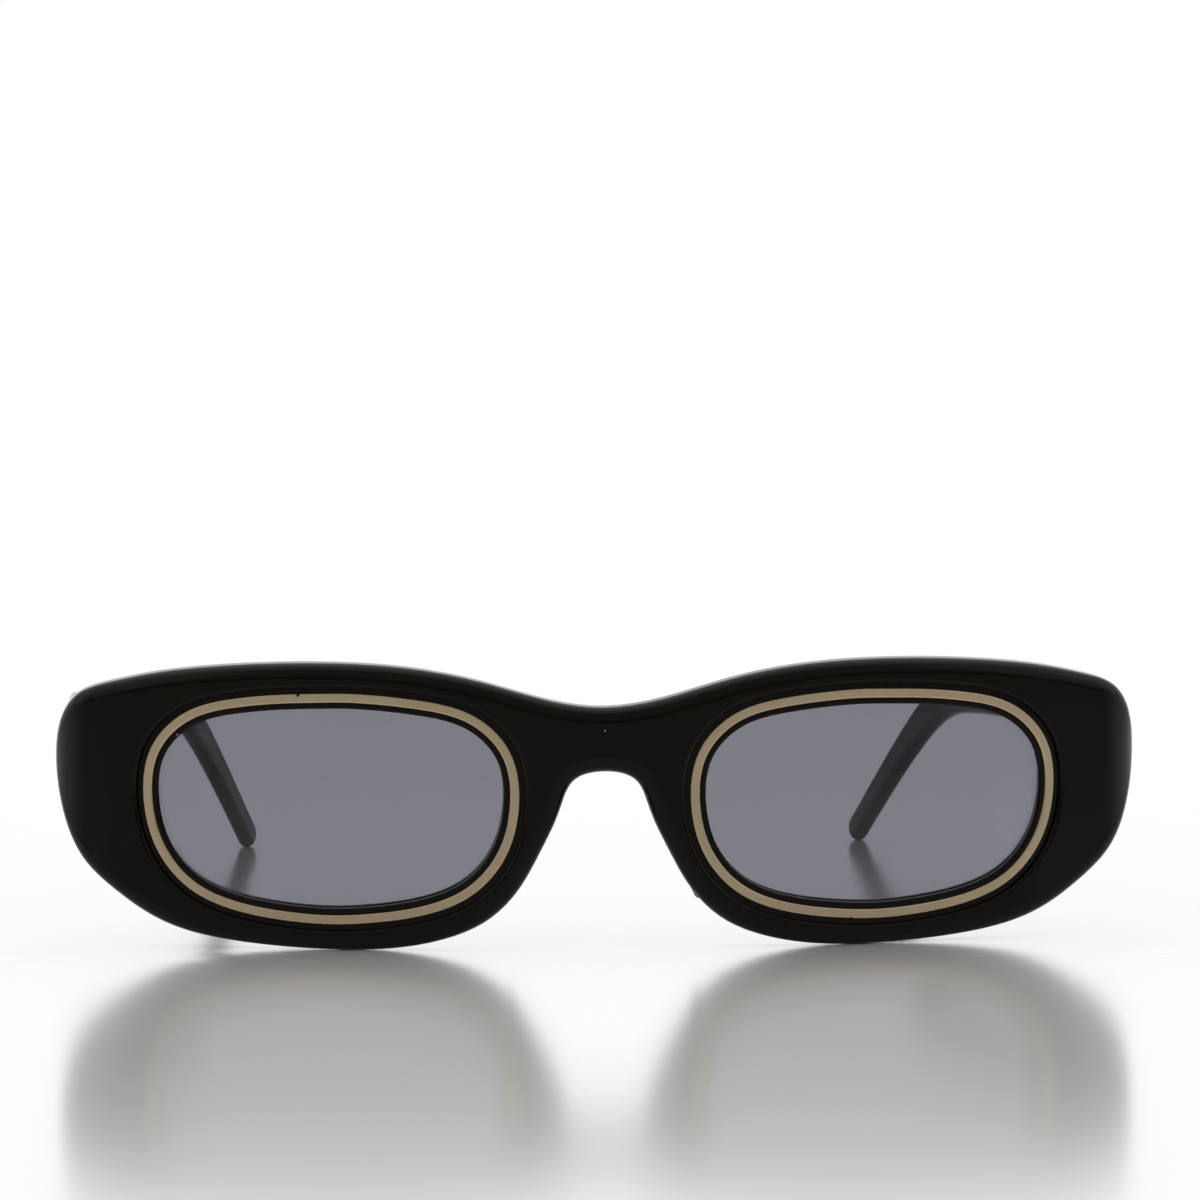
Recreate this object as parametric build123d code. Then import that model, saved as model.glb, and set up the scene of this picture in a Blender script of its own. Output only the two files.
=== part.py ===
from build123d import *
from math import asin, atan2, cos, degrees, radians, sin, sqrt
import os

# Narrow rectangle sunglasses, in millimetres and degrees.
# +X is the wearer's left, +Y runs back along the temples, +Z is up.
# The glasses stand open on a table: on the two lower rims and the two temple tips.

# The lens openings and the front around them, as seen from straight ahead
opening_width = 44.2
opening_height = 25.9
between_openings = 26.1
top_rim = 5.8
bottom_rim = 5.4
end_reach = 13.7
bridge_height = 8.1

# The front's section and its curve, as seen from above
front_curve_radius = 177.0
front_thickness = 4.6
end_curve_radius = 9.5
end_overhang = 0.5
front_edge_round = 1.9
back_edge_round = 0.7
lean_angle = 2.93

# The metal trim ring, the recess it lies in and the black lip inside it
lip_width = 0.8
ring_width = 1.25
ring_thickness = 1.0
ring_proud = 0.2
ring_round = 0.2
ring_side_gap = 0.04
recess_margin = 0.75
recess_depth = 0.75
recess_round = 0.5
lip_round = 0.3

# The lens
lens_radius = 132.0
lens_thickness = 1.9
lens_depth = 1.25
lens_overlap = 0.7
lens_edge_gap = 0.08
lens_face_gap = 0.03

# The end piece that carries the hinge
butt_depth = 20.8
end_wall = 4.3
hinge_seat_setback = 2.6
seat_margin = 1.2

# The hinge: five knuckles on one screw
knuckle_radius = 1.3
knuckle_height = 1.5
knuckle_gap = 0.08
knuckle_count = 5
barrel_gap = 0.25
butt_gap = 0.15
hinge_height = 26.7
leaf_thickness = 0.8
front_leaf_width = 5.6
temple_leaf_length = 9.5
screw_radius = 0.6
screw_clearance = 0.05
screw_head_radius = 0.95
screw_head_height = 0.6
slot_width = 0.35
slot_depth = 0.3
pin_radius = 0.5
pin_length = 2.3
pin_head_radius = 0.85
pin_head_height = 0.3
pin_spacing = 5.0
leaf_corner_round = 0.6

# The temple
temple_top_at_butt = 32.3
temple_bottom_at_butt = 21.5
straight_length = 72.0
straight_height = 27.0
straight_depth = 6.8
waist_share = 0.42
waist_height = 24.2
bend_radius = 50.0
bend_angle = 35.0
bend_end_height = 5.0
tip_radius = 2.0
temple_angle = 7.4
tip_turn_angle = 6.5
tip_turn_length = 22.0
ear_thickness = 2.4
temple_round = 1.05

# The wire inside the temple
wire_height = 1.6
wire_thickness = 1.0
wire_gap = 0.04
wire_start = 12.5
wire_end_margin = 7.0

# The nose pad
pad_length = 14.0
pad_reach = 6.0
pad_thickness = 2.4
pad_round = 0.9
pad_height = 12.5
pad_splay = 28.0
pad_rake = 27.0
pad_inset = 2.2

# One overrun serves every cut
overrun = 40.0

# Shares of the opening's half width and half height, from its top round to its bottom
opening_shares = (
    (0.0, 1.0), (0.34, 0.975), (0.56, 0.927), (0.80, 0.797), (0.975, 0.46), (1.0, 0.03),
    (0.935, -0.385), (0.775, -0.71), (0.555, -0.882), (0.34, -0.955), (0.0, -1.0),
)

nose_half = between_openings / 2
lens_centre_x = nose_half + opening_width / 2
opening_outer_x = nose_half + opening_width
opening_bottom = bottom_rim
opening_top = bottom_rim + opening_height
lens_centre_z = (opening_bottom + opening_top) / 2
front_reach = opening_outer_x + end_reach
arch_top = opening_top - bridge_height
ring_inner = lip_width
ring_outer = lip_width + ring_width
recess_edge = ring_outer + recess_margin


def seen_from_front(face):
    """A drawing in width and height, run through the front from face to back."""
    return extrude(Plane.XZ * face, amount=overrun, both=True)


def seen_from_above(face):
    """A drawing in width and depth, run through the whole height."""
    return extrude(face, amount=overrun, both=True)


def seen_from_side(face):
    """A drawing in depth and height, run through the whole width."""
    return extrude(Plane.YZ * face, amount=overrun + front_reach, both=True)


def filled(*corners):
    return make_face(Polyline(*corners, close=True))


# The front


def front_outline():
    """The front's outline, from the middle of its top round to the nose arch and back."""

    def beside_nose(share):
        return nose_half * share

    def across(share):
        return nose_half + opening_width * share

    def at_end(share):
        return opening_outer_x + end_reach * share

    def above(share):
        return opening_top + top_rim * share

    def beside(share):
        return opening_bottom + opening_height * share

    def below(share):
        return opening_bottom - bottom_rim * share

    left = [
        (0, above(0.03)),
        (beside_nose(0.60), above(0.22)),
        (across(0.06), above(0.60)),
        (across(0.27), above(0.90)),
        (across(0.54), above(1.00)),
        (across(0.83), above(0.89)),
        (at_end(0.05), above(0.70)),
        (at_end(0.50), above(0.45)),
        (at_end(0.78), above(0.17)),
        (at_end(0.92), beside(0.94)),
        (at_end(1.00), beside(0.73)),
        (at_end(0.93), beside(0.43)),
        (at_end(0.74), beside(0.21)),
        (at_end(0.42), below(-0.24)),
        (at_end(0.00), below(0.42)),
        (across(0.76), below(0.88)),
        (across(0.52), below(1.00)),
        (across(0.33), below(0.96)),
        (across(0.17), below(0.72)),
        (across(0.05), below(0.29)),
        (beside_nose(0.86), beside(0.09)),
        (beside_nose(0.62), beside(0.30)),
        (beside_nose(0.44), beside(0.50)),
        (beside_nose(0.31), beside(0.64)),
        (0, arch_top),
    ]
    right = [(-x, z) for x, z in reversed(left[1:-1])]
    return Spline(*left, *right, periodic=True)


def front_plan():
    """The front from above: a long curve that turns back at both end pieces."""
    reach = front_reach + end_overhang
    turn_x = (reach - end_curve_radius) / (1 - end_curve_radius / front_curve_radius)
    turn = asin(turn_x / front_curve_radius)
    turn_y = front_curve_radius * (1 - cos(turn))
    centre_x = turn_x - end_curve_radius * sin(turn)
    centre_y = turn_y + end_curve_radius * cos(turn)
    knee = (radians(90) - turn) / 2
    knee_x = centre_x + end_curve_radius * cos(knee)
    knee_y = centre_y - end_curve_radius * sin(knee)
    rear = centre_y + overrun
    return make_face(
        [
            ThreePointArc((-turn_x, turn_y), (0, 0), (turn_x, turn_y)),
            ThreePointArc((turn_x, turn_y), (knee_x, knee_y), (reach, centre_y)),
            Line((reach, centre_y), (reach, rear)),
            Line((reach, rear), (-reach, rear)),
            Line((-reach, rear), (-reach, centre_y)),
            ThreePointArc((-reach, centre_y), (-knee_x, knee_y), (-turn_x, turn_y)),
        ]
    )


def behind(depth):
    """Everything that lies deeper than this behind the front's curved face."""
    axis = Pos(0, front_curve_radius, lens_centre_z)
    return axis * Cylinder(front_curve_radius - depth, 2 * overrun)


def around_opening(distance):
    """The opening's outline, this far outside its edge."""
    half_width = opening_width / 2
    half_height = opening_height / 2
    right = [(x * half_width, z * half_height) for x, z in opening_shares]
    left = [(-x, z) for x, z in reversed(right[1:-1])]
    edge = Spline(*right, *left, periodic=True)
    steps = len(right + left)
    moved = []
    for step in range(steps):
        along = edge % (step / steps)
        moved.append(edge @ (step / steps) + Vector(-along.Y, along.X) * distance)
    outline = Spline(*moved, periodic=True)
    return Pos(lens_centre_x, lens_centre_z) * outline


def through_opening(distance):
    return seen_from_front(make_face(around_opening(distance)))


def curved_edges_on(solid, outline):
    """The solid's curved edges that lie on this outline as seen from the front."""
    found = []
    for edge in solid.edges().filter_by(GeomType.LINE, reverse=True):
        middle = edge @ 0.5
        if outline.distance_to(Vertex(middle.X, middle.Z, 0)) < ring_side_gap:
            found.append(edge)
    return found


def is_at_depth(edge, depth):
    """Whether an edge's middle lies this deep behind the front's curved face."""
    middle = edge @ 0.5
    from_axis = sqrt(middle.X**2 + (middle.Y - front_curve_radius) ** 2)
    return abs(front_curve_radius - depth - from_axis) < ring_side_gap


def edges_along(solid, outline, depth):
    """The solid's edges on both copies of an opening's outline, at this depth."""
    other = mirror(outline, about=Plane.YZ)
    edges = curved_edges_on(solid, outline) + curved_edges_on(solid, other)
    return [edge for edge in edges if is_at_depth(edge, depth)]


def lens_zone(front_depth, back_depth):
    """The space between two spheres that the lens's two faces lie on."""
    turn = asin(lens_centre_x / front_curve_radius)
    to_centre = front_curve_radius - lens_depth - lens_radius
    centre = Pos(to_centre * sin(turn), front_curve_radius - to_centre * cos(turn), lens_centre_z)
    return centre * (Sphere(lens_radius - front_depth) - Sphere(lens_radius - back_depth))


def together(solids):
    return Part() + list(solids)


def on_both_sides(solid):
    return solid + mirror(solid, about=Plane.YZ)


def rim_band(inner, outer, front_depth, back_depth):
    """A band round the left opening between two outlines and two depths."""
    band = make_face(around_opening(outer)) - make_face(around_opening(inner))
    return (seen_from_front(band) & behind(front_depth)) - behind(back_depth)


def front_blank():
    return seen_from_front(make_face(front_outline())) & seen_from_above(front_plan())


def round_front_edge(solid):
    edges = curved_edges_on(solid, front_outline())
    front_edges = [
        edge
        for edge in edges
        if (edge @ 0.5).Y < butt_depth and not is_at_depth(edge, front_thickness)
    ]
    return fillet(front_edges, front_edge_round)


def front_plate():
    """The front at its own thickness, with the lens openings, recesses and grooves."""
    plate = front_blank() - behind(front_thickness)
    plate -= on_both_sides(through_opening(recess_edge) - behind(recess_depth))
    groove = through_opening(ring_outer + ring_side_gap) - through_opening(ring_inner - ring_side_gap)
    plate -= on_both_sides(groove - behind(recess_depth + ring_thickness - ring_proud))
    plate -= on_both_sides(lens_solid(lens_edge_gap, lens_face_gap))
    plate -= on_both_sides(through_opening(0))
    plate = fillet(edges_along(plate, around_opening(recess_edge), 0), recess_round)
    plate = fillet(edges_along(plate, around_opening(0), recess_depth), lip_round)
    plate = round_front_edge(plate)
    back_edges = curved_edges_on(plate, front_outline())
    return fillet([edge for edge in back_edges if is_at_depth(edge, front_thickness)], back_edge_round)


def lens_solid(edge_gap, face_gap):
    """The left lens, or its groove when it is given gaps."""
    blank = through_opening(lens_overlap + edge_gap)
    return blank & lens_zone(-face_gap, lens_thickness + face_gap)


def end_block():
    """What stays behind the front's back face: the hinge seats and the end walls."""
    seat_x = opening_outer_x + seat_margin
    wall_x = front_reach - end_wall
    seat_y = butt_depth - hinge_seat_setback
    plan = filled(
        (seat_x, 0),
        (seat_x, seat_y),
        (wall_x, seat_y),
        (wall_x, butt_depth),
        (front_reach + end_overhang, butt_depth),
        (front_reach + end_overhang, 0),
    )
    side = filled(
        (0, temple_bottom_at_butt),
        (butt_depth, temple_bottom_at_butt),
        (butt_depth, temple_top_at_butt),
        (0, temple_top_at_butt),
    )
    return on_both_sides(seen_from_above(plan) & seen_from_side(side))


def stand(solid):
    """Lean the upright front's pieces towards the viewer and set them on the table."""
    return Pos(0, 0, -lowest) * Rot(lean_angle, 0, 0) * solid


def front_frame(plate):
    """The finished front, with a seat and an end wall at each hinge."""
    rounded = round_front_edge(front_blank())
    block = stand(rounded & behind(front_thickness - 2 * back_edge_round)) & end_block()
    front = stand(plate) + block
    return front - on_both_sides(front_leaf_blank()) - on_both_sides(together(front_pins()))


# The trim rings and lenses


def trim_ring():
    front_depth = recess_depth - ring_proud
    band = rim_band(ring_inner, ring_outer, front_depth, front_depth + ring_thickness)
    edges = edges_along(band, around_opening(ring_inner), front_depth)
    edges += edges_along(band, around_opening(ring_outer), front_depth)
    return fillet(edges, ring_round)


# The nose pads


def nose_pad():
    """The left pad, upright: a thin half oval that stands on the front's back face."""
    rake = radians(pad_rake)
    splay = radians(pad_splay)
    along = Vector(-sin(rake), 0, cos(rake))
    out = Vector(sin(splay), cos(splay), 0)
    base = Plane(
        origin=(pad_foot, front_thickness, pad_height), x_dir=along, z_dir=along.cross(out)
    )
    pad = extrude(base * Ellipse(pad_length / 2, pad_reach), amount=pad_thickness / 2, both=True)
    pad = fillet(pad.edges().filter_by(GeomType.ELLIPSE), pad_round)
    return pad & behind(front_thickness)


# The hinge, as the wearer's left one


pad_foot = nose_half * (1 - pad_height / opening_top) + pad_inset
pin_x = front_reach - end_wall - barrel_gap - knuckle_radius
pin_y = butt_depth
seat_y = butt_depth - hinge_seat_setback
barrel_height = knuckle_count * knuckle_height + (knuckle_count - 1) * knuckle_gap
barrel_bottom = hinge_height - barrel_height / 2
leaf_top = barrel_bottom + barrel_height
leaf_start = knuckle_radius + barrel_gap
pin_share = 0.6


def knuckle_level(index):
    return barrel_bottom + index * (knuckle_height + knuckle_gap)


def upright_box(x_low, x_high, y_low, y_high, z_low, z_high):
    size = (x_high - x_low, y_high - y_low, z_high - z_low)
    corner = Pos(x_low, y_low, z_low)
    return corner * Box(*size, align=(Align.MIN, Align.MIN, Align.MIN))


def barrel_part(indexes, web):
    """Knuckles at these levels, each joined to its leaf by a web."""
    part = []
    for index in indexes:
        low = knuckle_level(index)
        knuckle = Pos(pin_x, pin_y, low + knuckle_height / 2) * Cylinder(knuckle_radius, knuckle_height)
        part.append(knuckle + upright_box(*web, low, low + knuckle_height))
    return part


def screw_bore():
    shank = Cylinder(screw_radius + screw_clearance, barrel_height + overrun)
    head_space = Cylinder(screw_head_radius + screw_clearance, 2 * screw_head_height)
    return Pos(pin_x, pin_y, hinge_height) * shank + Pos(pin_x, pin_y, leaf_top) * head_space


def leaf_bed():
    """The front leaf's plate, sunk flush in the hinge seat."""
    plate_left = pin_x - front_leaf_width + knuckle_radius / 2
    plate = upright_box(
        plate_left, pin_x + knuckle_radius / 2, seat_y - leaf_thickness, seat_y, barrel_bottom, leaf_top
    )
    return fillet(plate.edges().filter_by(Axis.Y), leaf_corner_round)


def front_pins():
    """Two blind pins that hold the front leaf in its seat."""
    x = pin_x - front_leaf_width / 2
    pins = []
    for side in (-1, 1):
        z = hinge_height + side * pin_spacing / 2
        pins.append(Pos(x, seat_y, z) * Rot(90, 0, 0) * blind_pin())
    return pins


def blind_pin():
    """A headed pin that points up, with the top of its head at the origin."""
    seat = (Align.CENTER, Align.CENTER, Align.MIN)
    shank = Cylinder(pin_radius, pin_length, align=seat)
    return shank + Cylinder(pin_head_radius, pin_head_height, align=seat)


def front_leaf_blank():
    web = (pin_x - knuckle_radius, pin_x, seat_y - leaf_thickness, pin_y)
    return leaf_bed() + barrel_part(range(0, knuckle_count, 2), web)


def front_hinge_leaf():
    return front_leaf_blank() - screw_bore() - front_pins()


def from_temple_frame(solid):
    """Turn what is drawn beside the pin, straight back, to the temple's inner face."""
    inner_angle = degrees(atan2(end_wall - ear_thickness, straight_length))
    return Pos(pin_x, pin_y) * Rot(0, 0, temple_angle - inner_angle) * solid


def temple_leaf_bed():
    """The temple leaf's plate, sunk flush in the temple's inner face."""
    plate = upright_box(
        leaf_start,
        leaf_start + leaf_thickness,
        leaf_start,
        leaf_start + temple_leaf_length,
        barrel_bottom,
        leaf_top,
    )
    return from_temple_frame(fillet(plate.edges().filter_by(Axis.X), leaf_corner_round))


def temple_pins():
    """Two blind pins that hold the temple leaf."""
    y = leaf_start + temple_leaf_length * pin_share
    pins = []
    for side in (-1, 1):
        z = hinge_height + side * pin_spacing / 2
        pins.append(from_temple_frame(Pos(leaf_start, y, z) * Rot(0, 90, 0) * blind_pin()))
    return pins


def temple_leaf_blank():
    """The temple leaf before it is drilled: a plate, and a web to each of its knuckles."""
    leaf = temple_leaf_bed()
    for index in range(1, knuckle_count, 2):
        low = knuckle_level(index)
        high = low + knuckle_height
        barrel = Pos(0, 0, (low + high) / 2) * Cylinder(knuckle_radius, knuckle_height)
        web = upright_box(0, leaf_start + leaf_thickness, 0, knuckle_radius, low, high)
        tail = upright_box(leaf_start, leaf_start + leaf_thickness, 0, 2 * leaf_start, low, high)
        leaf += from_temple_frame(barrel + web + tail)
    return leaf


def temple_hinge_leaf():
    return temple_leaf_blank() - screw_bore() - temple_pins()


def hinge_screw():
    shank = Pos(pin_x, pin_y, hinge_height) * Cylinder(screw_radius, barrel_height)
    head_middle = leaf_top - screw_head_height / 2
    head = Pos(pin_x, pin_y, head_middle) * Cylinder(screw_head_radius, screw_head_height)
    slot = Pos(pin_x, pin_y, leaf_top) * Box(2 * screw_head_radius, slot_width, 2 * slot_depth)
    return shank + head - slot


# The temple, as the wearer's left one


bend_start_y = butt_depth + straight_length
bend_end_y = bend_start_y + bend_radius * sin(radians(bend_angle))
bend_end_z = straight_height - bend_radius * (1 - cos(radians(bend_angle)))
drop_length = (bend_end_z - tip_radius) / sin(radians(bend_angle))
tip_y = bend_end_y + drop_length * cos(radians(bend_angle))
waist_y = butt_depth + straight_length * waist_share


# Shares of the bend, of the straight run and of the turn inwards, where their outlines have points
bend_shares = (0, 0.5, 1)
straight_shares = (1 / 3, 2 / 3, 1)
turn_shares = (0.5, 1, 1.5)


def beside_bend(share, offset):
    """A point this share of the way round the bend, and this far above its middle line."""
    heading = radians(bend_angle * share)
    across = bend_radius + offset
    return (bend_start_y + across * sin(heading), straight_height - bend_radius + across * cos(heading))


def temple_side():
    """The temple from the side: a tapering bar, a bend over the ear and a round tip."""
    heading = radians(bend_angle)
    half = straight_depth / 2
    end_half = bend_end_height / 2
    mid_half = (half + end_half) / 2
    mid_share = bend_shares[1]
    tip_top = (tip_y + tip_radius * sin(heading), tip_radius + tip_radius * cos(heading))
    tip_end = (tip_y + tip_radius * cos(heading), tip_radius - tip_radius * sin(heading))
    tip_low = (tip_y - tip_radius * sin(heading), tip_radius - tip_radius * cos(heading))
    drop = (cos(heading), -sin(heading))
    top = Spline(
        (butt_depth, temple_top_at_butt),
        (waist_y, (temple_top_at_butt + straight_height + half) / 2),
        (bend_start_y, straight_height + half),
        beside_bend(mid_share, mid_half),
        beside_bend(1, end_half),
        tip_top,
        tangents=[(straight_length, straight_height + half - temple_top_at_butt), drop],
    )
    bottom = Spline(
        tip_low,
        beside_bend(1, -end_half),
        beside_bend(mid_share, -mid_half),
        (bend_start_y, straight_height - half),
        (waist_y, waist_height),
        (butt_depth, temple_bottom_at_butt),
        tangents=[(-drop[0], -drop[1]), (butt_depth - waist_y, temple_bottom_at_butt - waist_height)],
    )
    cap = ThreePointArc(tip_top, tip_end, tip_low)
    return make_face([top, cap, bottom, Line(bottom @ 1, top @ 0)])


def beside_outer_face(distance, inset):
    """A point from above: this far along the temple's outer face and this far inside it."""
    heading = radians(temple_angle)
    run = min(distance, straight_length)
    x = front_reach - run * sin(heading)
    y = butt_depth + run * cos(heading)
    turned = min(max(distance - straight_length, 0), tip_turn_length)
    radius = tip_turn_length / radians(tip_turn_angle)
    after = heading + turned / radius
    x -= radius * (cos(heading) - cos(after))
    y += radius * (sin(after) - sin(heading))
    rest = distance - run - turned
    x -= rest * sin(after)
    y += rest * cos(after)
    return (x - inset * cos(after), y - inset * sin(after))


def temple_plan(start, outer_inset, inner_inset, taper):
    """The temple from above, between two faces inside its outer one."""
    stations = [start] + [straight_length * share for share in straight_shares]
    stations += [straight_length + tip_turn_length * share for share in turn_shares]
    stations.append(tip_y + tip_radius)
    outer = [beside_outer_face(station, outer_inset) for station in stations]
    inner = []
    for station in stations:
        extra = taper * max(0, 1 - station / straight_length)
        inner.append(beside_outer_face(station, inner_inset + extra))
    outer_face = Spline(*outer)
    inner_face = Spline(*inner)
    ends = [Line(outer_face @ 0, inner_face @ 0), Line(outer_face @ 1, inner_face @ 1)]
    return make_face([outer_face, inner_face, *ends])


def temple_wire(gap):
    """The wire inside the temple, or its channel when it is given a gap."""
    half = wire_height / 2 + gap
    heading = radians(bend_angle)
    tail = drop_length - wire_end_margin
    edges = []
    for side in (1, -1):
        start = (butt_depth + wire_start - gap, straight_height + side * half)
        bend = [beside_bend(share, side * half) for share in bend_shares]
        end = (bend[2][0] + tail * cos(heading), bend[2][1] - tail * sin(heading))
        edges += [Line(start, bend[0]), ThreePointArc(*bend), Line(bend[2], end)]
    edges += [Line(edges[0] @ 0, edges[3] @ 0), Line(edges[2] @ 1, edges[5] @ 1)]
    inset = (ear_thickness - wire_thickness) / 2
    plan = temple_plan(0, inset - gap, inset + wire_thickness + gap, 0)
    return seen_from_side(make_face(edges)) & seen_from_above(plan)


def temple():
    """The temple, flush with the end piece at its front, with its wire channel and leaf bed."""
    plan = temple_plan(0, 0, ear_thickness, end_wall - ear_thickness)
    bar = seen_from_side(temple_side()) & seen_from_above(plan)
    bar = fillet([edge for edge in bar.edges() if edge.length > straight_length], temple_round)
    bar -= upright_box(0, 2 * front_reach, 0, butt_depth + butt_gap, 0, overrun)
    near_front = upright_box(0, 2 * front_reach, butt_depth, overrun, 0, overrun)
    bar -= near_front - stand(Pos(0, butt_depth) * seen_from_front(make_face(front_outline())))
    bar -= temple_wire(wire_gap)
    return bar - temple_leaf_blank() - temple_pins()


# The whole pair of glasses

upright_plate = front_plate()
lowest = (Rot(lean_angle, 0, 0) * upright_plate).bounding_box().min.Z

left_pieces = {
    "lens": stand(lens_solid(0, 0)),
    "trim_ring": stand(trim_ring()),
    "nose_pad": stand(nose_pad()),
    "front_hinge_leaf": front_hinge_leaf(),
    "front_leaf_pins": together(front_pins()),
    "hinge_screw": hinge_screw(),
    "temple_hinge_leaf": temple_hinge_leaf(),
    "temple_leaf_pins": together(temple_pins()),
    "temple": temple(),
    "temple_wire": temple_wire(0),
}
pieces = {"front_frame": front_frame(upright_plate)}
for name, piece in left_pieces.items():
    pieces[name + "_left"] = piece
    pieces[name + "_right"] = mirror(piece, about=Plane.YZ)

foremost = pieces["front_frame"].bounding_box().min.Y
rearmost = pieces["temple_left"].bounding_box().max.Y
middle_y = (foremost + rearmost) / 2

os.makedirs("parts", exist_ok=True)
for name, piece in pieces.items():
    export_step(Pos(0, -middle_y) * piece, f"parts/{name}.step")

print(f"hinge pins at x {pin_x:.4f}, y {pin_y - middle_y:.4f}, z {hinge_height:.4f}")
print(f"overall depth {rearmost - foremost:.2f}, middle {middle_y:.4f}, lift {-lowest:.4f}")
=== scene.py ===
from math import atan, degrees, radians

import bpy
from mathutils import Matrix

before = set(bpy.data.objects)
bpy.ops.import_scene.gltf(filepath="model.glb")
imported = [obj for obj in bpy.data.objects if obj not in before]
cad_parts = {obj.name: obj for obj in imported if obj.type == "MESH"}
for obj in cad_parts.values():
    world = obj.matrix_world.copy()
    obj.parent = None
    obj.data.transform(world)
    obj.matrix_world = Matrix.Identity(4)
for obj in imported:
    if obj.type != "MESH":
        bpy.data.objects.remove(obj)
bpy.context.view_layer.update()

# The camera
# It stands a good arm's length in front, a little above the glasses and to the wearer's right, and
# looks slightly down. The picture's horizon lies 215 of its 1200 pixels above the middle.

PICTURE_PIXELS = 1200
FOCAL_PIXELS = 4752
HORIZON_ABOVE_MIDDLE = 214.7
# The sensor's width is in millimetres, the other lengths in metres, and angles are in degrees.
SENSOR_WIDTH = 36
NEAREST_SEEN = 0.01
CAMERA_PLACE = (-0.0344, -0.6784, 0.0725)
CAMERA_TURN = 3.2
CAMERA_ROLL = -0.32

camera_data = bpy.data.cameras.new("photo_camera")
camera_data.sensor_width = SENSOR_WIDTH
camera_data.lens = SENSOR_WIDTH * FOCAL_PIXELS / PICTURE_PIXELS
camera_data.clip_start = NEAREST_SEEN
camera = bpy.data.objects.new("photo_camera", camera_data)
bpy.context.scene.collection.objects.link(camera)
pitch = degrees(atan(HORIZON_ABOVE_MIDDLE / FOCAL_PIXELS))
heading = Matrix.Rotation(radians(-CAMERA_TURN), 4, "Z")
tilt = Matrix.Rotation(radians(90 - pitch), 4, "X")
roll = Matrix.Rotation(radians(CAMERA_ROLL), 4, "Z")
camera.matrix_world = Matrix.Translation(CAMERA_PLACE) @ heading @ tilt @ roll
bpy.context.scene.camera = camera
bpy.context.scene.view_settings.view_transform = "Standard"

# The front
# One piece of thick black cellulose acetate, cut from sheet, bent, and polished by hand. That gives
# the eye a deep wet black with clear reflections, under the light haze, hairlines and few dust
# specks of a worn but well-kept pair.

ACETATE_IOR = 1.48
DUST_COLOUR = "#8f897d"
# The sizes of the patterns are in millimetres. Real hairlines are a few hundredths of a millimetre
# wide, too fine to show, so they are drawn as streaks 0.4 mm wide and 11 mm long or more.
HAZE_CLOUD = 11.11
HAIRLINES = (
    {"turn": (0.3, 0.2, 0.5), "streak": (0.3846, 11.11, 11.11)},
    {"turn": (0.9, 0.4, -0.6), "streak": (11.11, 0.4167, 12.5)},
)
HAIRLINE_FROM, HAIRLINE_FULL = 0.68, 0.76
# Dust lies in specks up to 0.4 mm across. All but a twentieth of its cells stay clean.
DUST_CELL = 2.381
SPECK_RADIUS = 0.2143
CLEAN_SHARE = 0.955
# The haze goes from clear patches to dull ones, which have twice the roughness.
CLEAR_HAZE, DULL_HAZE = 0.3, 0.75
# What a hairline and a dust speck add to the roughness, and a hairline's depth in metres and
# relief strength.
HAIRLINE_DULLING = 0.08
DUST_DULLING = 0.5
HAIRLINE_DEPTH = 0.000004
HAIRLINE_RELIEF = 0.25


def linear(code):
    """An sRGB hex colour as linear red, green, blue and alpha."""
    channels = [int(code[i : i + 2], 16) / 255 for i in (1, 3, 5)]
    return [c / 12.92 if c <= 0.04045 else ((c + 0.055) / 1.055) ** 2.4 for c in channels] + [1]


def per_metre(millimetres):
    """The scale of a pattern whose features are this many millimetres in size."""
    return 1000 / millimetres


def add_node(tree, kind, settings, inputs):
    """Adds a node. Each input is a plain value, or a node and its output to link from."""
    made = tree.nodes.new(kind)
    for name, value in settings.items():
        setattr(made, name, value)
    for name, value in inputs.items():
        if isinstance(value, tuple) and isinstance(value[0], bpy.types.Node):
            tree.links.new(value[0].outputs[value[1]], made.inputs[name])
        else:
            made.inputs[name].default_value = value
    return made


def new_material(name):
    """A named material with an empty node tree."""
    material = bpy.data.materials.new(name)
    material.use_nodes = True
    material.node_tree.nodes.clear()
    return material


def wear(material, *nodes):
    """These pieces are made of this material."""
    for node in nodes:
        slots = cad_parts[node].data.materials
        slots.clear()
        slots.append(material)


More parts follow.
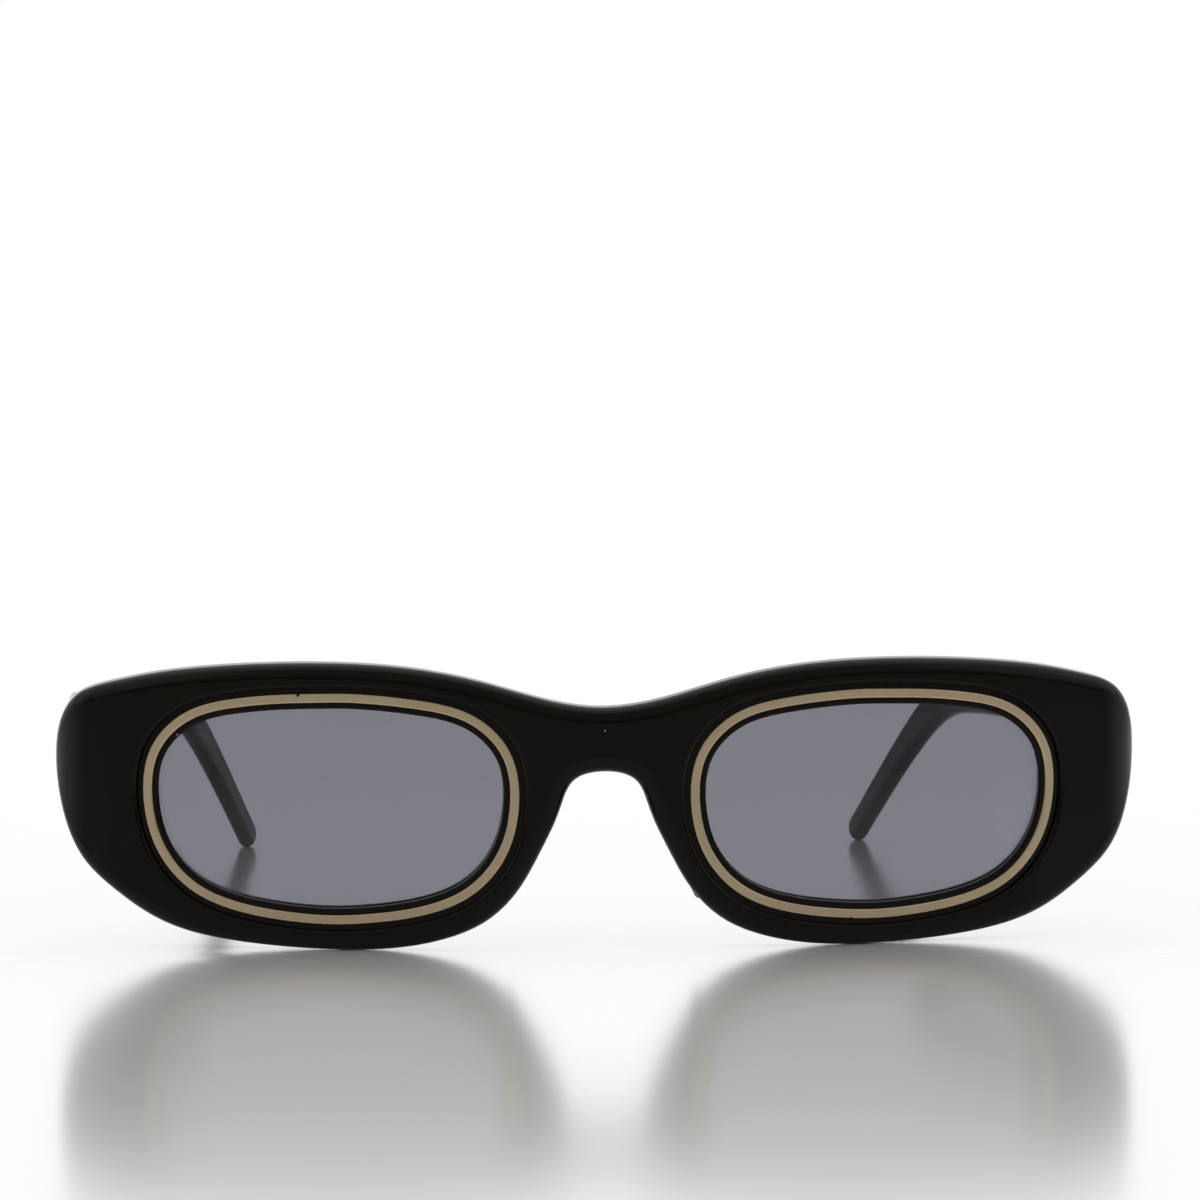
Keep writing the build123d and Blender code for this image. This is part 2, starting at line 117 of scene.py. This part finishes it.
def polished_acetate(name, colour, worn_colour, roughness, shine):
    """Black acetate: polishing haze, hairline scratches and dust over a deep gloss.

    The roughness is that of the clear patches. The shine is the strength of the reflections, and it
    is low, to match the deep black of the photograph.
    """
    material = new_material(name)
    tree = material.node_tree
    place = add_node(tree, "ShaderNodeTexCoord", {}, {})
    haze = add_node(
        tree,
        "ShaderNodeTexNoise",
        {},
        {"Vector": (place, "Object"), "Scale": per_metre(HAZE_CLOUD), "Detail": 4.0},
    )
    lines = []
    for hairline in HAIRLINES:
        stretched = add_node(
            tree,
            "ShaderNodeMapping",
            {},
            {
                "Vector": (place, "Object"),
                "Rotation": hairline["turn"],
                "Scale": [per_metre(size) for size in hairline["streak"]],
            },
        )
        streaks = add_node(
            tree,
            "ShaderNodeTexNoise",
            {},
            {"Vector": (stretched, "Vector"), "Scale": 1.0, "Detail": 2.0},
        )
        lines.append(
            add_node(
                tree,
                "ShaderNodeMapRange",
                {},
                {"Value": (streaks, "Fac"), "From Min": HAIRLINE_FROM, "From Max": HAIRLINE_FULL},
            )
        )
    scratches = add_node(
        tree,
        "ShaderNodeMath",
        {"operation": "MAXIMUM"},
        {0: (lines[0], "Result"), 1: (lines[1], "Result")},
    )
    cells = add_node(
        tree,
        "ShaderNodeTexVoronoi",
        {},
        {"Vector": (place, "Object"), "Scale": per_metre(DUST_CELL)},
    )
    chance = add_node(tree, "ShaderNodeSeparateColor", {}, {"Color": (cells, "Color")})
    few = add_node(
        tree,
        "ShaderNodeMapRange",
        {},
        {
            "Value": (chance, "Red"),
            "From Min": CLEAN_SHARE,
            "From Max": 1.0,
            "To Max": SPECK_RADIUS / DUST_CELL,
        },
    )
    dust = add_node(
        tree,
        "ShaderNodeMath",
        {"operation": "LESS_THAN"},
        {0: (cells, "Distance"), 1: (few, "Result")},
    )
    tone = add_node(
        tree,
        "ShaderNodeMix",
        {"data_type": "RGBA"},
        {"Factor": (haze, "Fac"), "A": linear(colour), "B": linear(worn_colour)},
    )
    dusty = add_node(
        tree,
        "ShaderNodeMix",
        {"data_type": "RGBA"},
        {"Factor": (dust, "Value"), "A": (tone, "Result"), "B": linear(DUST_COLOUR)},
    )
    gloss = add_node(
        tree,
        "ShaderNodeMapRange",
        {},
        {
            "Value": (haze, "Fac"),
            "From Min": CLEAR_HAZE,
            "From Max": DULL_HAZE,
            "To Min": roughness,
            "To Max": roughness * 2,
        },
    )
    scratched = add_node(
        tree,
        "ShaderNodeMath",
        {"operation": "MULTIPLY_ADD"},
        {0: (scratches, "Value"), 1: HAIRLINE_DULLING, 2: (gloss, "Result")},
    )
    dulled = add_node(
        tree,
        "ShaderNodeMath",
        {"operation": "MULTIPLY_ADD", "use_clamp": True},
        {0: (dust, "Value"), 1: DUST_DULLING, 2: (scratched, "Value")},
    )
    relief = add_node(
        tree,
        "ShaderNodeBump",
        {"invert": True},
        {"Height": (scratches, "Value"), "Strength": HAIRLINE_RELIEF, "Distance": HAIRLINE_DEPTH},
    )
    surface = add_node(
        tree,
        "ShaderNodeBsdfPrincipled",
        {},
        {
            "Base Color": (dusty, "Result"),
            "Roughness": (dulled, "Value"),
            "Normal": (relief, "Normal"),
            "IOR": ACETATE_IOR,
            "Specular IOR Level": shine,
        },
    )
    add_node(tree, "ShaderNodeOutputMaterial", {}, {"Surface": (surface, "BSDF")})
    return material


front_material = polished_acetate(
    "polished_black_acetate",
    colour="#0a0703",
    worn_colour="#0f0a05",
    roughness=0.05,
    shine=0.12,
)
wear(front_material, "front_frame")

# The trim rings
# Thin sheet-metal hoops, plated in champagne and brushed to a satin sheen, pressed into the recess
# round each lens. That gives the eye a warm, softly lit band with a few dark nicks.

CHAMPAGNE = "#b3a183"
PALE_CHAMPAGNE = "#c1b094"
NICK_COLOUR = "#3a3126"
# The sizes of the patterns are in millimetres. Real brush lines are a few hundredths of a
# millimetre wide, too fine to show, so they are drawn as a plain grain of 0.7 mm.
BRUSHED_GRAIN = 0.7143
TONE_PATCH = 6.25
# Nicks are up to 0.6 mm across. All but a tenth of their cells stay unmarked.
NICK_CELL = 1.923
NICK_RADIUS = 0.3077
UNMARKED_SHARE = 0.9
# Nearly all of a grain's values lie between these two.
GRAIN_LOW, GRAIN_HIGH = 0.3, 0.7
# The satin's range of roughness, and the depth in metres and relief strength of its grain.
SATIN_PLATING = (0.27, 0.42)
BRUSHED_DEPTH = 0.00001
GRAIN_RELIEF = 0.3

material = new_material("brushed_champagne_plating")
tree = material.node_tree
place = add_node(tree, "ShaderNodeTexCoord", {}, {})
grain = add_node(
    tree,
    "ShaderNodeTexNoise",
    {},
    {"Vector": (place, "Object"), "Scale": per_metre(BRUSHED_GRAIN), "Detail": 3.0},
)
patches = add_node(
    tree,
    "ShaderNodeTexNoise",
    {},
    {"Vector": (place, "Object"), "Scale": per_metre(TONE_PATCH), "Detail": 3.0},
)
cells = add_node(
    tree,
    "ShaderNodeTexVoronoi",
    {},
    {"Vector": (place, "Object"), "Scale": per_metre(NICK_CELL)},
)
chance = add_node(tree, "ShaderNodeSeparateColor", {}, {"Color": (cells, "Color")})
few = add_node(
    tree,
    "ShaderNodeMapRange",
    {},
    {
        "Value": (chance, "Green"),
        "From Min": UNMARKED_SHARE,
        "From Max": 1.0,
        "To Max": NICK_RADIUS / NICK_CELL,
    },
)
nicks = add_node(
    tree,
    "ShaderNodeMath",
    {"operation": "LESS_THAN"},
    {0: (cells, "Distance"), 1: (few, "Result")},
)
plating = add_node(
    tree,
    "ShaderNodeMix",
    {"data_type": "RGBA"},
    {"Factor": (patches, "Fac"), "A": linear(CHAMPAGNE), "B": linear(PALE_CHAMPAGNE)},
)
nicked = add_node(
    tree,
    "ShaderNodeMix",
    {"data_type": "RGBA"},
    {"Factor": (nicks, "Value"), "A": (plating, "Result"), "B": linear(NICK_COLOUR)},
)
satin = add_node(
    tree,
    "ShaderNodeMapRange",
    {},
    {
        "Value": (grain, "Fac"),
        "From Min": GRAIN_LOW,
        "From Max": GRAIN_HIGH,
        "To Min": SATIN_PLATING[0],
        "To Max": SATIN_PLATING[1],
    },
)
relief = add_node(
    tree,
    "ShaderNodeBump",
    {},
    {"Height": (grain, "Fac"), "Strength": GRAIN_RELIEF, "Distance": BRUSHED_DEPTH},
)
surface = add_node(
    tree,
    "ShaderNodeBsdfPrincipled",
    {},
    {
        "Base Color": (nicked, "Result"),
        "Roughness": (satin, "Result"),
        "Normal": (relief, "Normal"),
        "Metallic": 1.0,
    },
)
add_node(tree, "ShaderNodeOutputMaterial", {}, {"Surface": (surface, "BSDF")})
wear(material, "trim_ring_left", "trim_ring_right")

# The lenses
# Neutral grey optical resin, cast and polished, tinted all through and held in the rims' grooves.
# It lets about a fifth of the light pass, so the eye gets an even grey with faint wiping smears.

LENS_TINT = "#7a7a83"
SMEARED_TINT = "#7d7d86"
# Such resin has an IOR of about 1.5. It is lower here, because the real lenses mirror very little.
LENS_IOR = 1.42
LENS_SHINE = 0.3
# A smear's width in millimetres, about a fingertip's.
SMEAR_WIDTH = 14.286
SMEAR_SWIRL = 1.2
SMEAR_FROM, SMEAR_FULL = 0.45, 0.8
SMEARED_ROUGHNESS = 0.02

material = new_material("grey_tinted_lens_resin")
tree = material.node_tree
place = add_node(tree, "ShaderNodeTexCoord", {}, {})
smears = add_node(
    tree,
    "ShaderNodeTexNoise",
    {},
    {
        "Vector": (place, "Object"),
        "Scale": per_metre(SMEAR_WIDTH),
        "Detail": 5.0,
        "Distortion": SMEAR_SWIRL,
    },
)
gloss = add_node(
    tree,
    "ShaderNodeMapRange",
    {},
    {
        "Value": (smears, "Fac"),
        "From Min": SMEAR_FROM,
        "From Max": SMEAR_FULL,
        "To Min": 0.0,
        "To Max": SMEARED_ROUGHNESS,
    },
)
tint = add_node(
    tree,
    "ShaderNodeMix",
    {"data_type": "RGBA"},
    {"Factor": (smears, "Fac"), "A": linear(LENS_TINT), "B": linear(SMEARED_TINT)},
)
surface = add_node(
    tree,
    "ShaderNodeBsdfPrincipled",
    {},
    {
        "Base Color": (tint, "Result"),
        "Roughness": (gloss, "Result"),
        "IOR": LENS_IOR,
        "Specular IOR Level": LENS_SHINE,
        "Transmission Weight": 1.0,
    },
)
add_node(tree, "ShaderNodeOutputMaterial", {}, {"Surface": (surface, "BSDF")})
wear(material, "lens_left", "lens_right")

# The nose pads
# Two thin half ovals of the same black acetate, glued on behind the notch. Skin has worn their
# polish, so the eye gets a paler black with a softer gloss.

pad_material = polished_acetate(
    "skin_worn_black_acetate",
    colour="#0d0b09",
    worn_colour="#1a1713",
    roughness=0.14,
    shine=0.14,
)
wear(pad_material, "nose_pad_left", "nose_pad_right")

# The hinges
# Five-knuckle leaves stamped from nickel silver and tumbled, sunk in the acetate and held by blind
# pins. Pins and core wires are of the same metal, a warm satin grey to the eye.

NICKEL_SILVER = "#b9b4a8"
PALE_NICKEL_SILVER = "#cfccc4"
# The sizes of the patterns are in millimetres. Tumbling leaves a grain of a few hundredths of a
# millimetre, too fine to show, so it is drawn 0.45 mm coarse.
TUMBLED_GRAIN = 0.4545
TARNISH_PATCH = 2.0
# The satin's range of roughness, and the grain's depth in metres.
SATIN_NICKEL = (0.25, 0.4)
TUMBLED_DEPTH = 0.000008

material = new_material("tumbled_nickel_silver")
tree = material.node_tree
place = add_node(tree, "ShaderNodeTexCoord", {}, {})
grain = add_node(
    tree,
    "ShaderNodeTexNoise",
    {},
    {"Vector": (place, "Object"), "Scale": per_metre(TUMBLED_GRAIN), "Detail": 3.0},
)
tarnish = add_node(
    tree,
    "ShaderNodeTexNoise",
    {},
    {"Vector": (place, "Object"), "Scale": per_metre(TARNISH_PATCH), "Detail": 4.0},
)
tone = add_node(
    tree,
    "ShaderNodeMix",
    {"data_type": "RGBA"},
    {"Factor": (tarnish, "Fac"), "A": linear(NICKEL_SILVER), "B": linear(PALE_NICKEL_SILVER)},
)
satin = add_node(
    tree,
    "ShaderNodeMapRange",
    {},
    {
        "Value": (grain, "Fac"),
        "From Min": GRAIN_LOW,
        "From Max": GRAIN_HIGH,
        "To Min": SATIN_NICKEL[0],
        "To Max": SATIN_NICKEL[1],
    },
)
relief = add_node(
    tree,
    "ShaderNodeBump",
    {},
    {"Height": (grain, "Fac"), "Strength": GRAIN_RELIEF, "Distance": TUMBLED_DEPTH},
)
surface = add_node(
    tree,
    "ShaderNodeBsdfPrincipled",
    {},
    {
        "Base Color": (tone, "Result"),
        "Roughness": (satin, "Result"),
        "Normal": (relief, "Normal"),
        "Metallic": 1.0,
    },
)
add_node(tree, "ShaderNodeOutputMaterial", {}, {"Surface": (surface, "BSDF")})
for side in ("left", "right"):
    wear(
        material,
        "front_hinge_leaf_" + side,
        "temple_hinge_leaf_" + side,
        "front_leaf_pins_" + side,
        "temple_leaf_pins_" + side,
        "temple_wire_" + side,
    )

# The hinge screws
# One turned steel screw with a slotted head runs down through the knuckles of each hinge, and the
# temple swings on it. To the eye it is brighter and sharper than the leaves.

TURNED_STEEL = "#d4d4d2"
# In millimetres. The lathe's marks are a few hundredths apart, too fine to show, so they are drawn
# as a plain grain of 0.33 mm.
LATHE_MARK = 0.3333
STEEL_GLOSS = (0.14, 0.26)

material = new_material("turned_bright_steel")
tree = material.node_tree
place = add_node(tree, "ShaderNodeTexCoord", {}, {})
turning = add_node(
    tree,
    "ShaderNodeTexNoise",
    {},
    {"Vector": (place, "Object"), "Scale": per_metre(LATHE_MARK), "Detail": 2.0},
)
gloss = add_node(
    tree,
    "ShaderNodeMapRange",
    {},
    {
        "Value": (turning, "Fac"),
        "From Min": GRAIN_LOW,
        "From Max": GRAIN_HIGH,
        "To Min": STEEL_GLOSS[0],
        "To Max": STEEL_GLOSS[1],
    },
)
surface = add_node(
    tree,
    "ShaderNodeBsdfPrincipled",
    {},
    {"Base Color": linear(TURNED_STEEL), "Roughness": (gloss, "Result"), "Metallic": 1.0},
)
add_node(tree, "ShaderNodeOutputMaterial", {}, {"Surface": (surface, "BSDF")})
wear(material, "hinge_screw_left", "hinge_screw_right")

# The temples
# Bars of the front's black acetate with a metal core, polished, then bent down over the ear.
# Handling has left more haze on them than on the front, so the eye gets softer reflections.

temple_material = polished_acetate(
    "handled_black_acetate",
    colour="#070503",
    worn_colour="#0c0906",
    roughness=0.1,
    shine=0.1,
)
wear(temple_material, "temple_left", "temple_right")

# The floor
# A wide sheet of glossy white plastic that lies flat under the glasses. Seen at a flat angle, it
# mirrors the bright backdrop, and the glasses blurred. Further out it fades to plain white.

FLOOR_WIDTH = 12
SHEET_WHITE = "#f7f5f2"
# Such plastic has an IOR of about 1.5. It is higher here, to mirror the glasses as strongly as the
# photograph does.
SHEET_IOR = 1.65
SHEET_ROUGHNESS = 0.155
# The fade's start and end, in metres from the middle of the glasses.
FADE_START = 0.15
FADE_END = 0.6

bpy.ops.object.select_all(action="DESELECT")
bpy.ops.mesh.primitive_plane_add(size=FLOOR_WIDTH, location=(0, 0, 0))
floor = bpy.context.object
floor.name = "floor"
material = new_material("glossy_white_sheet")
tree = material.node_tree
surface = add_node(
    tree,
    "ShaderNodeBsdfPrincipled",
    {},
    {
        "Base Color": linear(SHEET_WHITE),
        "Roughness": SHEET_ROUGHNESS,
        "IOR": SHEET_IOR,
        "Coat Weight": 1.0,
        "Coat Roughness": SHEET_ROUGHNESS,
    },
)
place = add_node(tree, "ShaderNodeTexCoord", {}, {})
distance = add_node(
    tree, "ShaderNodeVectorMath", {"operation": "LENGTH"}, {0: (place, "Object")}
)
far = add_node(
    tree,
    "ShaderNodeMapRange",
    {"interpolation_type": "SMOOTHSTEP"},
    {"Value": (distance, "Value"), "From Min": FADE_START, "From Max": FADE_END},
)
path = add_node(tree, "ShaderNodeLightPath", {}, {})
looking = add_node(
    tree,
    "ShaderNodeMath",
    {"operation": "MAXIMUM"},
    {0: (path, "Is Camera Ray"), 1: (path, "Is Transmission Ray")},
)
fading = add_node(
    tree, "ShaderNodeMath", {"operation": "MULTIPLY"}, {0: (far, "Result"), 1: (looking, "Value")}
)
white = add_node(tree, "ShaderNodeEmission", {}, {"Color": (1, 1, 1, 1), "Strength": 1.0})
sweep = add_node(
    tree,
    "ShaderNodeMixShader",
    {},
    {0: (fading, "Value"), 1: (surface, "BSDF"), 2: (white, "Emission")},
)
add_node(tree, "ShaderNodeOutputMaterial", {}, {"Surface": (sweep, "Shader")})
floor.data.materials.append(material)

# The studio
# A bright backdrop all round for what looks at it, and plain even light for the rest. Gloss mirrors
# a dim room straight in front, and a half-lit ceiling above it. One broad soft box hangs overhead
# and a smaller one stands at each side.

EVEN_LIGHT = 0.8
DIM_ROOM = 0.12
HALF_LIT_CEILING = 0.5
BACKDROP = 1.0
# Where the mirrored room changes over, along a direction of length 1. The backdrop takes over from
# front to back, and the ceiling from the table up.
BACKDROP_FROM, BACKDROP_FULL = -0.6, 0.1
CEILING_FROM, CEILING_FULL = 0.05, 0.35

world = bpy.data.worlds.new("studio")
bpy.context.scene.world = world
world.use_nodes = True
tree = world.node_tree
tree.nodes.clear()
path = add_node(tree, "ShaderNodeLightPath", {}, {})
direction = add_node(tree, "ShaderNodeTexCoord", {}, {})
parts = add_node(tree, "ShaderNodeSeparateXYZ", {}, {"Vector": (direction, "Generated")})
behind = add_node(
    tree,
    "ShaderNodeMapRange",
    {"interpolation_type": "SMOOTHSTEP"},
    {
        "Value": (parts, "Y"),
        "From Min": BACKDROP_FROM,
        "From Max": BACKDROP_FULL,
        "To Min": DIM_ROOM,
        "To Max": BACKDROP,
    },
)
above = add_node(
    tree,
    "ShaderNodeMapRange",
    {"interpolation_type": "SMOOTHSTEP"},
    {
        "Value": (parts, "Z"),
        "From Min": CEILING_FROM,
        "From Max": CEILING_FULL,
        "To Min": DIM_ROOM,
        "To Max": HALF_LIT_CEILING,
    },
)
mirrored = add_node(
    tree,
    "ShaderNodeMath",
    {"operation": "MAXIMUM"},
    {0: (behind, "Result"), 1: (above, "Result")},
)
seen = add_node(
    tree,
    "ShaderNodeMath",
    {"operation": "MAXIMUM"},
    {0: (path, "Is Camera Ray"), 1: (path, "Is Transmission Ray")},
)
even = add_node(
    tree,
    "ShaderNodeMix",
    {"data_type": "FLOAT"},
    {"Factor": (path, "Is Glossy Ray"), "A": EVEN_LIGHT, "B": (mirrored, "Value")},
)
level = add_node(
    tree,
    "ShaderNodeMix",
    {"data_type": "FLOAT"},
    {"Factor": (seen, "Value"), "A": (even, "Result"), "B": BACKDROP},
)
backdrop = add_node(
    tree, "ShaderNodeBackground", {}, {"Color": (1, 1, 1, 1), "Strength": (level, "Result")}
)
add_node(tree, "ShaderNodeOutputWorld", {}, {"Surface": (backdrop, "Background")})

# Each box's name, its place in metres, its turn in degrees, its length and width in metres, and its
# power in watts.
SOFT_BOXES = (
    ("overhead_box", (0.0, 0.10, 0.85), (0, 0, 0), 1.2, 0.9, 1.5),
    ("left_box", (0.75, -0.25, 0.45), (62, 0, 71), 0.9, 0.7, 0.9),
    ("right_box", (-0.75, -0.25, 0.45), (62, 0, -71), 0.9, 0.7, 0.9),
)
for name, location, turn, length, width, watts in SOFT_BOXES:
    lamp_data = bpy.data.lights.new(name, "AREA")
    lamp_data.shape = "RECTANGLE"
    lamp_data.size = length
    lamp_data.size_y = width
    lamp_data.energy = watts
    lamp = bpy.data.objects.new(name, lamp_data)
    bpy.context.scene.collection.objects.link(lamp)
    lamp.location = location
    lamp.rotation_euler = [radians(angle) for angle in turn]

bpy.context.view_layer.update()
